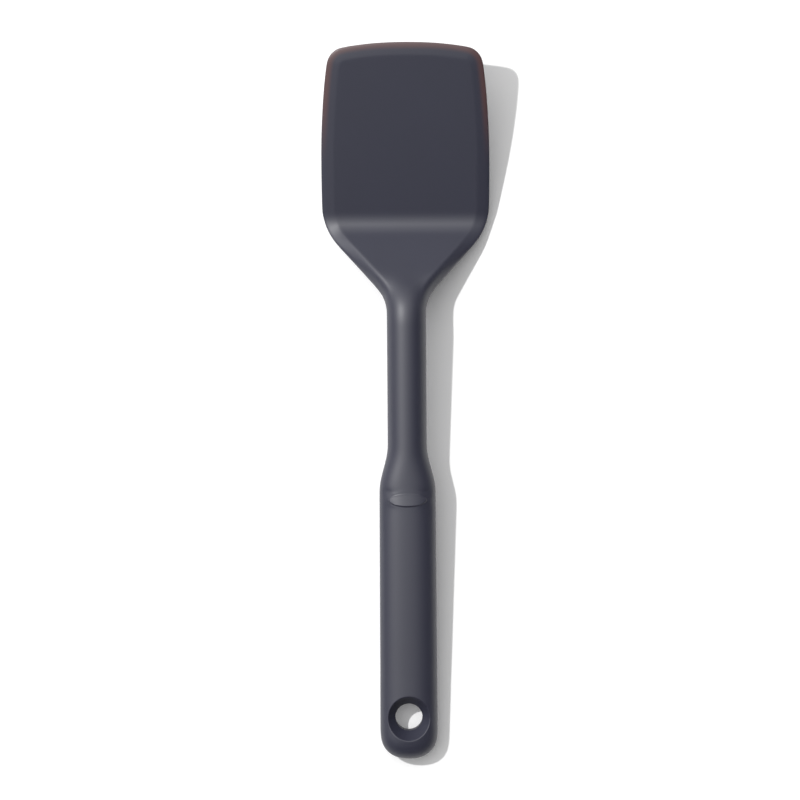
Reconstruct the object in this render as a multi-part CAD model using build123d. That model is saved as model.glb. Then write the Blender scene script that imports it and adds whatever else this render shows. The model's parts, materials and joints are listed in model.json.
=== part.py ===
from build123d import *
import math
import os

os.makedirs("parts", exist_ok=True)

# A silicone turner: silicone skin moulded over a steel blade plate, a steel rod and a two-part nylon core.
# Lengths in millimetres, angles in degrees. +Y points to the tip of the blade, +Z up from the table.

# Centre line, seen from the side: handle and neck, shoulder down to the heel, blade up to the tip
handle_line_length = 206.0
shoulder_line_length = 48.5
blade_line_length = 86.8
shoulder_drop_angle = 28.5
blade_rise_angle = 16.9
neck_bend_radius = 34.0
heel_bend_radius = 16.0

# Half widths, and half thicknesses above and below the centre line
handle_end_half_width = 13.3
handle_front_half_width = 12.95
neck_half_width = 9.0
blade_half_width = 39.0
tip_half_width = 34.6
handle_half_thickness = 8.2
neck_half_thickness = 8.0
heel_height_above = 3.0
heel_depth_below = 3.7
tip_height_above = 2.2
tip_depth_below = 1.5

# Where the outline changes, along the centre line
handle_front_place = 128.4
neck_rear_place = 143.0
neck_front_past_bend = 7.3
heel_corner_before_bend = 3.2
tip_taper_length = 34.5
oval_section_before_bend = 16.0
slab_section_past_bend = 16.0

# Radii of the outline's corners
handle_front_radius = 33.0
neck_rear_radius = 31.0
neck_front_radius = 28.0
heel_corner_radius = 36.0
blade_side_radius = 346.0

# Rounded handle end and blade corners
handle_end_rounding = 12.5
tip_rounding = 8.6
handle_end_power = 2.35
tip_power = 2.4

# Blade section: flat panel, low bevel to a thin lip above the centre line, deeper bevel underneath
bevel_width = 5.8
under_bevel_width = 7.0
lip_half_thickness = 0.5
lip_round_depth = 0.35
heel_lip_rise = 1.2
tip_lip_rise = 0.8

# Handle and neck section, as shares of its half width and half thickness
oval_top_width_share = 0.62
oval_top_height_share = 0.84
oval_side_width_share = 0.90
oval_side_height_share = 0.51

# Hanging hole: a straight land between two cones
hole_place = 20.0
hole_radius = 6.3
hole_land_length = 5.0
hole_cone_slope_share = 0.8
hole_lining = 1.6

# Bare oval pad where the handle meets the flare
pad_place = 121.6
pad_length = 6.2
pad_width = 18.2
pad_height = 0.45

# Silicone over the core
skin_wall = 2.2
core_front_before_bend = 15.0

# Steel blade plate, with windows along both sides and across the tip that the silicone flows through
plate_thickness = 0.8
plate_side_inset = 8.0
plate_tip_inset = 8.5
plate_tang_half_width = 6.2
plate_start_past_bend = 1.0
window_length = 9.0
window_width = 3.0
window_edge_inset = 4.2
side_window_count = 4
tip_window_count = 3
window_from_heel = 14.0
window_from_tip_edge = 16.5

# Steel rod, with a flattened spade that runs past the neck's bend and carries the plate
rod_radius = 3.0
rod_rear_place = 72.0
rod_front_before_bend = 10.0
rod_gap = 0.05
spade_thickness = 2.2
spade_half_width = 5.0
spade_rear_before_bend = 13.5
spade_end_margin = 4.5

# Rivets through the spade and the plate
rivet_radius = 1.6
rivet_head_radius = 2.7
rivet_head_height = 0.7
rivet_first_past_bend = 3.8
rivet_pitch = 7.0
rivet_count = 2

# Screws that clamp the two halves of the core: two in line behind the rod, one on each side of it
screw_radius = 1.4
screw_head_radius = 2.6
screw_head_height = 1.6
screw_top_height = 3.2
screw_length = 7.2
screw_gap = 0.05
screw_line_place = 38.0
screw_line_pitch = 18.0
screw_pair_place = 106.0
screw_pair_offset = 5.8

# Cross pin through the rod, held between the halves
pin_radius = 1.25
pin_length = 16.0
pin_place = 88.0
pin_gap = 0.05

# How finely the curved stretches are divided, and how far a cutter runs past a face
cap_steps = 7
bend_steps = 6
closest_sections = 0.5
overrun = 1.0


def turned_length(radius, angle):
    """Length of a bend of that radius and angle."""
    return radius * math.radians(angle)


def tangent_length(radius, angle):
    """Distance from a corner to where its rounding starts."""
    return radius * math.tan(math.radians(angle) / 2)


heel_turn_angle = shoulder_drop_angle + blade_rise_angle
neck_bend_start = handle_line_length - tangent_length(neck_bend_radius, shoulder_drop_angle)
neck_bend_end = neck_bend_start + turned_length(neck_bend_radius, shoulder_drop_angle)
neck_bend_place = (neck_bend_start + neck_bend_end) / 2
heel_bend_start = (
    neck_bend_end
    + shoulder_line_length
    - tangent_length(neck_bend_radius, shoulder_drop_angle)
    - tangent_length(heel_bend_radius, heel_turn_angle)
)
heel_bend_end = heel_bend_start + turned_length(heel_bend_radius, heel_turn_angle)
heel_bend_place = (heel_bend_start + heel_bend_end) / 2
line_length = heel_bend_end + blade_line_length - tangent_length(heel_bend_radius, heel_turn_angle)
neck_front_place = neck_bend_place + neck_front_past_bend
heel_corner_place = heel_bend_place - heel_corner_before_bend
rear_end = handle_end_rounding * (1 - math.cos(math.pi / 2 / cap_steps)) / 2
front_end = line_length - tip_rounding * (1 - math.cos(math.pi / 2 / cap_steps)) / 2


class Contour:
    """A line through corners (place, value), each inner corner rounded by its own radius."""

    def __init__(self, corners, radii):
        self.corners = corners
        self.arcs = []
        for before, corner, after, radius in zip(corners, corners[1:], corners[2:], radii):
            slope_in = math.atan2(corner[1] - before[1], corner[0] - before[0])
            slope_out = math.atan2(after[1] - corner[1], after[0] - corner[0])
            reach = radius * abs(math.tan((slope_out - slope_in) / 2))
            side = 1 if slope_out > slope_in else -1
            start = corner[0] - reach * math.cos(slope_in)
            start_value = corner[1] - reach * math.sin(slope_in)
            centre = start - side * radius * math.sin(slope_in)
            centre_value = start_value + side * radius * math.cos(slope_in)
            end = corner[0] + reach * math.cos(slope_out)
            self.arcs.append((start, end, centre, centre_value, radius, side))

    def value(self, place):
        """The contour's value at a place along the centre line."""
        for start, end, centre, centre_value, radius, side in self.arcs:
            if start < place < end:
                return centre_value - side * math.sqrt(radius**2 - (place - centre) ** 2)
        for (place_a, value_a), (place_b, value_b) in zip(self.corners, self.corners[1:]):
            if place <= place_b:
                return value_a + (value_b - value_a) * (place - place_a) / (place_b - place_a)
        return self.corners[-1][1]

    def places(self):
        """Places where sections are needed to follow the roundings."""
        found = []
        for start, end, *_ in self.arcs:
            found += [start + (end - start) * step / bend_steps for step in range(bend_steps + 1)]
        return found


half_width = Contour(
    [
        (0, handle_end_half_width),
        (handle_front_place, handle_front_half_width),
        (neck_rear_place, neck_half_width),
        (neck_front_place, neck_half_width),
        (heel_corner_place, blade_half_width),
        (line_length - tip_taper_length, blade_half_width),
        (line_length, tip_half_width),
    ],
    [handle_front_radius, neck_rear_radius, neck_front_radius, heel_corner_radius, blade_side_radius],
)


def thickness_contour(heel_value, tip_value):
    """Half thickness on one side of the centre line, from the handle's end to the tip."""
    return Contour(
        [
            (0, handle_half_thickness),
            (handle_front_place, handle_half_thickness),
            (neck_rear_place, neck_half_thickness),
            (neck_bend_place, neck_half_thickness),
            (heel_bend_place, heel_value),
            (line_length, tip_value),
        ],
        [handle_front_radius, neck_rear_radius, neck_bend_radius, heel_bend_radius],
    )


height_above = thickness_contour(heel_height_above, tip_height_above)
depth_below = thickness_contour(heel_depth_below, tip_depth_below)
lip_rise = Contour(
    [(0, 0), (neck_bend_place, 0), (heel_bend_place, heel_lip_rise), (line_length, tip_lip_rise)],
    [neck_bend_radius, heel_bend_radius],
)


def rounded_end_share(distance, rounding, power):
    """Share of the full width left at a distance from a rounded end."""
    if distance >= rounding:
        return 1
    return (1 - (1 - distance / rounding) ** power) ** (1 / power)


def ease_share(place, start, end):
    """0 before start, 1 after end, and a smooth rise between."""
    share = min(max((place - start) / (end - start), 0), 1)
    return share * share * (3 - 2 * share)


centre_line = FilletPolyline(
    (0, 0, 0),
    (0, handle_line_length, 0),
    (
        0,
        handle_line_length + shoulder_line_length * math.cos(math.radians(shoulder_drop_angle)),
        -shoulder_line_length * math.sin(math.radians(shoulder_drop_angle)),
    ),
    (
        0,
        handle_line_length
        + shoulder_line_length * math.cos(math.radians(shoulder_drop_angle))
        + blade_line_length * math.cos(math.radians(blade_rise_angle)),
        blade_line_length * math.sin(math.radians(blade_rise_angle))
        - shoulder_line_length * math.sin(math.radians(shoulder_drop_angle)),
    ),
    radius=[neck_bend_radius, heel_bend_radius],
)


def square_plane(place):
    """Plane square to the centre line: local x to the right, local y up, facing back to the handle's end."""
    point = centre_line.position_at(place, position_mode=PositionMode.LENGTH)
    heading = centre_line.tangent_at(place, position_mode=PositionMode.LENGTH)
    return Plane(origin=point, x_dir=(1, 0, 0), z_dir=-heading)


def upright_plane(place):
    """Plane along the centre line: local x to the right, local y to the tip, facing up."""
    square = square_plane(place)
    return Plane(origin=square.origin, x_dir=(1, 0, 0), z_dir=square.y_dir)


def crossing(point_a, slope_a, point_b, slope_b):
    """Where two lines given by a point and a slope meet."""
    x = (point_b[1] - point_a[1] + slope_a * point_a[0] - slope_b * point_b[0]) / (slope_a - slope_b)
    return (x, point_a[1] + slope_a * (x - point_a[0]))


def oval_quarter(width, height):
    """Corner and control points from the crown to the side of the handle's oval section."""
    top = (width * oval_top_width_share, height * oval_top_height_share)
    side = (width * oval_side_width_share, height * oval_side_height_share)
    crown = (0, 2 * height - top[1])
    flank = (2 * width - side[0], 0)
    turn = crossing(top, (top[1] - crown[1]) / top[0], side, -side[1] / (flank[0] - side[0]))
    return [crown, top, turn, side, flank]


def slab_quarter(width, height, bevel, lip):
    """The same points for the blade's section: flat panel, bevel, and the lip's face at a height."""
    flat = max(width - bevel, width * oval_top_width_share)
    top = (flat, height)
    side = (width - lip_round_depth, lip)
    middle = ((top[0] + side[0]) / 2, (top[1] + side[1]) / 2)
    return [(0, height), top, middle, side, (2 * width - side[0], lip - lip_half_thickness)]


def section_quarter(place, inset, below):
    """One quarter of the section at a place, inset from the outer surface."""
    end_share = rounded_end_share(place, handle_end_rounding, handle_end_power)
    tip_share = rounded_end_share(line_length - place, tip_rounding, tip_power)
    width = half_width.value(place) * end_share * tip_share - inset
    side_height = depth_below if below else height_above
    bevel = under_bevel_width if below else bevel_width
    height = side_height.value(place) * end_share - inset
    fall_share = min((line_length - place) / bevel, 1)
    rise = lip_rise.value(place)
    lip = lip_half_thickness - rise if below else lip_half_thickness + rise
    slab_height = lip + (height - lip) * fall_share
    oval = oval_quarter(width, height)
    slab = slab_quarter(width, slab_height, bevel, lip)
    slab_share = ease_share(
        place, neck_bend_place - oval_section_before_bend, neck_bend_place + slab_section_past_bend
    )
    return [
        (a[0] + (b[0] - a[0]) * slab_share, a[1] + (b[1] - a[1]) * slab_share)
        for a, b in zip(oval, slab)
    ]


def section_wire(place, inset):
    """Closed outline of the section at a place, in eight curved edges."""
    crown, top, turn, side, flank = section_quarter(place, inset, False)
    keel, bottom, under_turn, under_side, _ = section_quarter(place, inset, True)
    right = [top, turn, side, flank]
    right += [(under_side[0], -under_side[1]), (under_turn[0], -under_turn[1]), (bottom[0], -bottom[1])]
    left = [(-x, y) for x, y in reversed(right)]
    ring = [*right, (0, -keel[1]), *left, crown, top]
    plane = square_plane(place)
    points = [plane.from_local_coords(Vector(x, y, 0)) for x, y in ring]
    edges = [Bezier(*points[i : i + 3]) for i in range(0, len(points) - 1, 2)]
    return Wire(edges)


def section_places(start, end):
    """Places of all sections between two places, closer together where the shape turns."""
    found = []
    for contour in (half_width, height_above):
        found += contour.places()
    for bend_start, bend_end in ((neck_bend_start, neck_bend_end), (heel_bend_start, heel_bend_end)):
        found += [bend_start + (bend_end - bend_start) * i / bend_steps for i in range(bend_steps + 1)]
    for step in range(1, cap_steps + 1):
        angle = math.pi / 2 * step / cap_steps
        found.append(handle_end_rounding * (1 - math.cos(angle)))
        found.append(line_length - tip_rounding * (1 - math.cos(angle)))
    found.append(line_length - bevel_width)
    kept = [start]
    for place in sorted(found):
        if place > kept[-1] + closest_sections and place < end - closest_sections:
            kept.append(place)
    return [*kept, end]


def body_of_sections(start, end, inset):
    """Solid through the sections between two places."""
    return Solid.make_loft([section_wire(place, inset) for place in section_places(start, end)], True)


def hole_cutter(growth):
    """The hanging hole's space: a cylinder between two cones, grown by a wall."""
    plane = upright_plane(hole_place)
    radius = hole_radius + growth
    reach = handle_half_thickness + overrun
    rise = reach - hole_land_length / 2
    wide = radius + rise * hole_cone_slope_share
    land = plane * Cylinder(radius, 2 * reach)
    upper = plane * Pos(0, 0, hole_land_length / 2 + rise / 2) * Cone(radius, wide, rise)
    lower = plane * Pos(0, 0, -hole_land_length / 2 - rise / 2) * Cone(wide, radius, rise)
    return land + upper + lower


def oval_pad():
    """Bare oval pad, raised on the crown of the handle."""
    shell = body_of_sections(pad_place - pad_length, pad_place + pad_length, -pad_height)
    oval = upright_plane(pad_place) * Ellipse(pad_width / 2, pad_length / 2)
    column = extrude(oval, 2 * handle_half_thickness)
    return shell & column


def skin_outside():
    """The silicone's outer form with the hanging hole and the oval pad."""
    return body_of_sections(rear_end, front_end, 0) + oval_pad() - hole_cutter(0)


def core_envelope():
    """Form of the whole nylon core, one skin wall inside the silicone."""
    front = neck_bend_place - core_front_before_bend
    return body_of_sections(skin_wall, front, skin_wall) - hole_cutter(hole_lining)


def screw_spots():
    """Place along the handle and side offset of each screw."""
    in_line = [(screw_line_place + screw_line_pitch * i, 0) for i in range(2)]
    beside_rod = [(screw_pair_place, side * screw_pair_offset) for side in (-1, 1)]
    return in_line + beside_rod


def upright_cylinder(radius, place, offset, bottom, top):
    """Cylinder square to the centre line, between two heights above it."""
    return upright_plane(place) * Pos(offset, 0, (bottom + top) / 2) * Cylinder(radius, top - bottom)


def core_screws():
    """The four clamping screws, as separate solids."""
    neck_of_head = screw_top_height - screw_head_height
    screws = []
    for place, offset in screw_spots():
        shank_end = screw_top_height - screw_length
        shank = upright_cylinder(screw_radius, place, offset, shank_end, neck_of_head)
        head = upright_cylinder(screw_head_radius, place, offset, neck_of_head, screw_top_height)
        screws.append(shank + head)
    return screws


def screw_wells():
    """Space above each screw head, filled by the silicone."""
    wells = []
    for place, offset in screw_spots():
        radius = screw_head_radius + screw_gap
        wells.append(upright_cylinder(radius, place, offset, screw_top_height, handle_half_thickness))
    return wells


def screw_holes(upper):
    """Holes for the screws in one half of the core: clear in the upper one, threaded in the lower one."""
    neck_of_head = screw_top_height - screw_head_height
    holes = []
    for place, offset in screw_spots():
        if upper:
            radius = screw_radius + screw_gap
            holes.append(upright_cylinder(radius, place, offset, -overrun, neck_of_head))
            radius = screw_head_radius + screw_gap
            holes.append(upright_cylinder(radius, place, offset, neck_of_head, handle_half_thickness))
        else:
            shank_end = screw_top_height - screw_length
            holes.append(upright_cylinder(screw_radius, place, offset, shank_end, overrun))
    return holes


def cross_pin(gap):
    """The cross pin, or its hole when a gap is given."""
    return square_plane(pin_place) * Rot(0, 90, 0) * Cylinder(pin_radius + gap, pin_length + 2 * gap)


def round_rod(gap):
    """The rod's round stretch, or its channel when a gap is given."""
    front = neck_bend_place - rod_front_before_bend
    length = front - rod_rear_place
    return Pos(0, rod_rear_place + length / 2, 0) * Rot(90, 0, 0) * Cylinder(rod_radius + gap, length)


def strip(start, end, half_width_at, bottom, top):
    """Flat strip along the centre line, between two heights, with a half width given at each place."""
    wires = []
    for place in section_places(start, end):
        plane = square_plane(place)
        width = half_width_at(place)
        corners = [(-width, bottom), (width, bottom), (width, top), (-width, top)]
        points = [plane.from_local_coords(Vector(x, y, 0)) for x, y in corners]
        wires.append(Wire.make_polygon(points, close=True))
    return Solid.make_loft(wires, True)


def rivet_places():
    """Places of the rivets along the centre line."""
    return [neck_bend_end + rivet_first_past_bend + rivet_pitch * i for i in range(rivet_count)]


def rivet_holes():
    """Holes for the rivets."""
    reach = plate_thickness + spade_thickness
    return [upright_cylinder(rivet_radius, place, 0, -reach, 2 * reach) for place in rivet_places()]


def plate_rivets():
    """The rivets, each with a head under the plate and one on the spade."""
    under = -plate_thickness / 2
    over = plate_thickness / 2 + spade_thickness
    rivets = []
    for place in rivet_places():
        shank = upright_cylinder(rivet_radius, place, 0, under, over)
        lower = upright_cylinder(rivet_head_radius, place, 0, under - rivet_head_height, under)
        upper = upright_cylinder(rivet_head_radius, place, 0, over, over + rivet_head_height)
        rivets.append(shank + lower + upper)
    return rivets


def core_rod():
    """Round rod with its flattened spade, drilled for the pin and the rivets."""
    rear = neck_bend_place - spade_rear_before_bend
    front = rivet_places()[-1] + spade_end_margin
    bottom = plate_thickness / 2
    spade = strip(rear, front, lambda place: spade_half_width, bottom, bottom + spade_thickness)
    return round_rod(0) + spade - cross_pin(pin_gap) - rivet_holes()


def plate_half_width(place):
    """Half width of the blade plate: a tang under the spade, then an even inset from the blade's edge."""
    tip_share = rounded_end_share(line_length - place, tip_rounding, tip_power)
    return max(half_width.value(place) * tip_share - plate_side_inset, plate_tang_half_width)


def window_cutter(place, offset, turn):
    """Cutter for one slot-shaped window in the plate."""
    spot = upright_plane(place) * Pos(offset, 0, -plate_thickness) * Rot(0, 0, turn)
    return extrude(spot * SlotOverall(window_length, window_width), 2 * plate_thickness)


def plate_windows():
    """Cutters for the anchor windows, evenly spaced along both sides and across the tip."""
    cutters = []
    first = heel_bend_place + window_from_heel
    plate_end = line_length - plate_tip_inset
    pitch = (plate_end - window_from_tip_edge - first) / (side_window_count - 1)
    for i in range(side_window_count):
        place = first + pitch * i
        offset = plate_half_width(place) - window_edge_inset
        cutters += [window_cutter(place, side * offset, 90) for side in (-1, 1)]
    place = plate_end - window_edge_inset
    pitch = 2 * (plate_half_width(place) - window_edge_inset) / (tip_window_count + 1)
    for i in range(tip_window_count):
        cutters.append(window_cutter(place, (i - (tip_window_count - 1) / 2) * pitch, 0))
    return cutters


def blade_plate():
    """Bent steel sheet that stiffens the blade."""
    start = neck_bend_place + plate_start_past_bend
    end = line_length - plate_tip_inset
    sheet = strip(start, end, plate_half_width, -plate_thickness / 2, plate_thickness / 2)
    return sheet - plate_windows() - rivet_holes()


def core_half(envelope, upper):
    """One half of the nylon core, split along the centre line."""
    side = 1 if upper else -1
    length = 2 * handle_line_length
    block = Pos(0, 0, side * handle_half_thickness) * Box(length, length, 2 * handle_half_thickness)
    return (envelope & block) - round_rod(rod_gap) - cross_pin(pin_gap) - screw_holes(upper)


def underside_point(place):
    """Lowest point of the section at a place, seen from the side."""
    crown, top, *_ = section_quarter(place, 0, True)
    point = square_plane(place).from_local_coords(Vector(0, -(crown[1] + top[1]) / 2, 0))
    return (point.Y, point.Z)


def resting_angle():
    """Tilt of the handle when the spatula lies on a table on its heel and the end of its handle."""
    places = section_places(rear_end, front_end)
    rear = [underside_point(place) for place in places if place < neck_rear_place]
    front = [underside_point(place) for place in places if place > neck_bend_place]
    slopes = [min((b[1] - a[1]) / (b[0] - a[0]) for b in front) for a in rear]
    return -math.degrees(math.atan(max(slopes)))


envelope = core_envelope()
filled_wells = envelope - screw_wells()
rod = core_rod()
plate = blade_plate()
rivets = plate_rivets()
skin = skin_outside() - filled_wells - rod - plate - rivets

pieces = {
    "silicone_skin": skin,
    "blade_plate": plate,
    "core_rod": rod,
    "plate_rivets": Compound(rivets),
    "handle_core_upper": core_half(envelope, True),
    "handle_core_lower": core_half(envelope, False),
    "core_screws": Compound(core_screws()),
    "rod_cross_pin": cross_pin(0),
}

tilt = Rot(resting_angle(), 0, 0)
box = (tilt * skin).bounding_box()
on_table = Pos(-box.center().X, -box.center().Y, -box.min.Z) * tilt
for name, piece in pieces.items():
    export_step(on_table * piece, f"parts/{name}.step")
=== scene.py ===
"""Looks of a silicone turner: its moulded skin, the finishes of its parts, and the studio it lies in.

The skin is a cage grown with Blender's edit tools from the rim of the hanging hole: out over the end of the
handle, along the handle and neck, down the shoulder, and round the edge of the blade. Sizes are millimetres,
angles are degrees, and places are lengths along the centre line from the end of the handle to the tip.
"""

import json
import logging
import math
from dataclasses import dataclass
from enum import Enum
from typing import Callable

import bmesh
import bpy
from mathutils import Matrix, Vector


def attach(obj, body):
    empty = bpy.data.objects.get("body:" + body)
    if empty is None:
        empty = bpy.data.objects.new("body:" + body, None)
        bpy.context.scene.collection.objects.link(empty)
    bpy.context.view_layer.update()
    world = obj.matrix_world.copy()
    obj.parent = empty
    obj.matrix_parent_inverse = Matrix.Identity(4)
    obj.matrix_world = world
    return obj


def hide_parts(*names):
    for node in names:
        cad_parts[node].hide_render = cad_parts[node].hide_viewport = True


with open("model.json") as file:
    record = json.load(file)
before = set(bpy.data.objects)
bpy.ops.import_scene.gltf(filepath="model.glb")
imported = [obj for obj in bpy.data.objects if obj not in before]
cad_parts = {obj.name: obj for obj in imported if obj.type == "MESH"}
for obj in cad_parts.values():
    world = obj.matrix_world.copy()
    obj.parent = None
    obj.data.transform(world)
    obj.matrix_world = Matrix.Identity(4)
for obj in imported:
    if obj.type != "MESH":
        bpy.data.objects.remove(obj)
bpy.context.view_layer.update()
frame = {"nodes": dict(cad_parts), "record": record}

MM = 0.001
MM_PER_METRE = 1000
log = logging.getLogger("turner")

Colour = tuple[float, float, float, float]
Spot = tuple[float, float, float]
Loop = list[Spot]
Inputs = dict[str | int, object]


class Side(Enum):
    """Which face of the skin a shape lies on."""

    TOP = 1
    UNDER = -1


def linear(code: str) -> Colour:
    """Turns an sRGB hex colour to the linear colour that shaders take.

    Args:
        code: Six hex digits, such as "3f4048".

    Returns:
        Red, green, blue and an alpha of one.
    """
    shares = [int(code[i : i + 2], 16) / 255 for i in (0, 2, 4)]
    values = [s / 12.92 if s <= 0.04045 else ((s + 0.055) / 1.055) ** 2.4 for s in shares]
    return (values[0], values[1], values[2], 1.0)


def eased(value: float, start: float, end: float) -> float:
    """Rises smoothly from zero at start to one at end.

    Args:
        value: Where to read the rise.
        start: Value up to which it is zero.
        end: Value from which it is one.

    Returns:
        The share between zero and one.
    """
    share = min(max((value - start) / (end - start), 0.0), 1.0)
    return share * share * (3 - 2 * share)


def between(start: float, end: float, share: float) -> float:
    """Gives the value at a share of the way from start to end."""
    return start + (end - start) * share


def spot_between(start: Spot, end: Spot, share: float) -> Spot:
    """Gives the spot at a share of the way between two spots."""
    x, place, height = (between(a, b, share) for a, b in zip(start, end))
    return (x, place, height)


def feed(tree: bpy.types.NodeTree, node: bpy.types.Node, inputs: Inputs) -> None:
    """Gives a node's inputs their values and links.

    Args:
        tree: Node tree that the node is in.
        node: Node to feed.
        inputs: Value or output socket for each named or numbered input.
    """
    for key, value in inputs.items():
        if isinstance(value, bpy.types.NodeSocket):
            tree.links.new(value, node.inputs[key])
        else:
            node.inputs[key].default_value = value


def add_node(
    tree: bpy.types.NodeTree,
    kind: str,
    inputs: Inputs | None = None,
    **settings: object,
) -> bpy.types.Node:
    """Adds one node with its settings, values and links.

    Args:
        tree: Node tree to add to.
        kind: Blender's name of the node type.
        inputs: Value or output socket for each named or numbered input.
        settings: Attributes of the node itself.

    Returns:
        The new node.
    """
    node = tree.nodes.new(kind)
    for name, value in settings.items():
        setattr(node, name, value)
    feed(tree, node, inputs or {})
    return node


def start_material(name: str) -> tuple[bpy.types.Material, bpy.types.Node, bpy.types.NodeSocket]:
    """Starts a material on Blender's usual shader.

    Args:
        name: Name of the material.

    Returns:
        The material, its shader, and the socket that gives a point's place on the piece in metres.
    """
    made = bpy.data.materials.new(name)
    made.use_nodes = True
    where = add_node(made.node_tree, "ShaderNodeTexCoord").outputs["Object"]
    return (made, made.node_tree.nodes["Principled BSDF"], where)


class RoundedLine:
    """A value that runs straight between corners along the centre line, with each inner corner rounded."""

    slope_step = 0.01

    def __init__(self, corners: list[tuple[float, float]], radii: list[float]) -> None:
        """Works out the rounding of each inner corner.

        Args:
            corners: Place and value of each corner.
            radii: Radius of each inner corner, in order.
        """
        self.corners = corners
        self.arcs: list[tuple[float, float, float, float, float, int]] = []
        for before, corner, after, radius in zip(corners, corners[1:], corners[2:], radii):
            slope_in = math.atan2(corner[1] - before[1], corner[0] - before[0])
            slope_out = math.atan2(after[1] - corner[1], after[0] - corner[0])
            reach = radius * abs(math.tan((slope_out - slope_in) / 2))
            side = 1 if slope_out > slope_in else -1
            start = corner[0] - reach * math.cos(slope_in)
            centre = start - side * radius * math.sin(slope_in)
            height = corner[1] - reach * math.sin(slope_in) + side * radius * math.cos(slope_in)
            self.arcs.append((start, corner[0] + reach * math.cos(slope_out), centre, height, radius, side))

    def at(self, place: float) -> float:
        """Reads the value.

        Args:
            place: Length along the line.

        Returns:
            The value at that place.
        """
        for start, end, centre, height, radius, side in self.arcs:
            if start < place < end:
                return height - side * math.sqrt(radius**2 - (place - centre) ** 2)
        for (place_a, value_a), (place_b, value_b) in zip(self.corners, self.corners[1:]):
            if place <= place_b:
                return between(value_a, value_b, (place - place_a) / (place_b - place_a))
        return self.corners[-1][1]

    def slope(self, place: float) -> float:
        """Reads how steeply the value rises at a place."""
        return (self.at(place) - self.at(place - self.slope_step)) / self.slope_step


@dataclass(frozen=True)
class CentreLine:
    """The turner's line seen from the side: straight handle, shoulder going down, blade rising to the tip."""

    handle_length: float = 210.0
    shoulder_length: float = 43.6
    blade_length: float = 88.45
    shoulder_drop: float = 31.87
    blade_rise: float = 16.4
    neck_radius: float = 26.0
    heel_radius: float = 16.0
    hole_place: float = 20.0

    @property
    def heel_turn(self) -> float:
        """Angle between the shoulder and the blade."""
        return self.shoulder_drop + self.blade_rise

    @property
    def neck_tangent(self) -> float:
        """Length from the start of the neck's bend to the corner that it rounds."""
        return self.neck_radius * math.tan(math.radians(self.shoulder_drop) / 2)

    @property
    def heel_tangent(self) -> float:
        """Length from the start of the heel's bend to the corner that it rounds."""
        return self.heel_radius * math.tan(math.radians(self.heel_turn) / 2)

    @property
    def neck_bend(self) -> tuple[float, float]:
        """Places where the neck's bend starts and ends."""
        start = self.handle_length - self.neck_tangent
        return (start, start + self.neck_radius * math.radians(self.shoulder_drop))

    @property
    def heel_bend(self) -> tuple[float, float]:
        """Places where the heel's bend starts and ends."""
        start = self.neck_bend[1] + self.shoulder_length - self.neck_tangent - self.heel_tangent
        return (start, start + self.heel_radius * math.radians(self.heel_turn))

    @property
    def length(self) -> float:
        """Length of the whole line."""
        return self.heel_bend[1] + self.blade_length - self.heel_tangent

    def angle(self, place: float) -> float:
        """Works out the line's heading at a place.

        Args:
            place: Length along the line.

        Returns:
            Radians above the handle's own heading.
        """
        neck_share = (place - self.neck_bend[0]) / (self.neck_bend[1] - self.neck_bend[0])
        heel_share = (place - self.heel_bend[0]) / (self.heel_bend[1] - self.heel_bend[0])
        drop = self.shoulder_drop * min(max(neck_share, 0.0), 1.0)
        return math.radians(self.heel_turn * min(max(heel_share, 0.0), 1.0) - drop)

    def point(self, place: float) -> tuple[float, float]:
        """Works out where a place lies in the side view.

        Args:
            place: Length along the line.

        Returns:
            Distance along the handle's heading, and height above it.
        """
        along, up, done = 0.0, 0.0, 0.0
        radii = {self.neck_bend: -self.neck_radius, self.heel_bend: self.heel_radius}
        for bend, radius in radii.items():
            straight = max(min(place, bend[0]) - done, 0.0)
            along += straight * math.cos(self.angle(done))
            up += straight * math.sin(self.angle(done))
            before, after = self.angle(bend[0]), self.angle(min(max(place, bend[0]), bend[1]))
            along += radius * (math.sin(after) - math.sin(before))
            up += radius * (math.cos(before) - math.cos(after))
            done = bend[1]
        straight = max(place - done, 0.0)
        return (along + straight * math.cos(self.angle(done)), up + straight * math.sin(self.angle(done)))


class Rest:
    """Where the turner lies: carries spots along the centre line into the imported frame."""

    def __init__(self, line: CentreLine) -> None:
        """Reads the handle's tilt and place from the hanging hole's mount in the frame's record.

        Args:
            line: The turner's centre line.
        """
        mount = next(m for m in frame["record"]["mounts"] if m["name"] == "hang_hole")
        self.line = line
        self.up = Vector(mount["axis"]).normalized()
        self.heading = Vector((0.0, self.up.z, -self.up.y))
        self.start = Vector(mount["pos_m"]) - self.heading * line.hole_place * MM

    def to_frame(self, spot: Spot) -> Vector:
        """Carries one spot into the frame.

        Args:
            spot: Distance to the right, place along the line, and height square to it.

        Returns:
            The point in metres.
        """
        x, place, height = spot
        along, up = self.line.point(place)
        angle = self.line.angle(place)
        along -= height * math.sin(angle)
        up += height * math.cos(angle)
        return self.start + (self.heading * along + self.up * up + Vector((x, 0.0, 0.0))) * MM

    def from_frame(self, point: Vector, place: float) -> Spot:
        """Reads a point's spot beside one straight stretch of the line.

        Args:
            point: Point in metres.
            place: Any place on the straight stretch.

        Returns:
            The spot, as to_frame takes it.
        """
        origin = self.to_frame((0.0, place, 0.0))
        angle = self.line.angle(place)
        heading = self.heading * math.cos(angle) + self.up * math.sin(angle)
        square = self.up * math.cos(angle) - self.heading * math.sin(angle)
        offset = (point - origin) / MM
        return (offset.x, place + offset.dot(heading), offset.dot(square))


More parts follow.
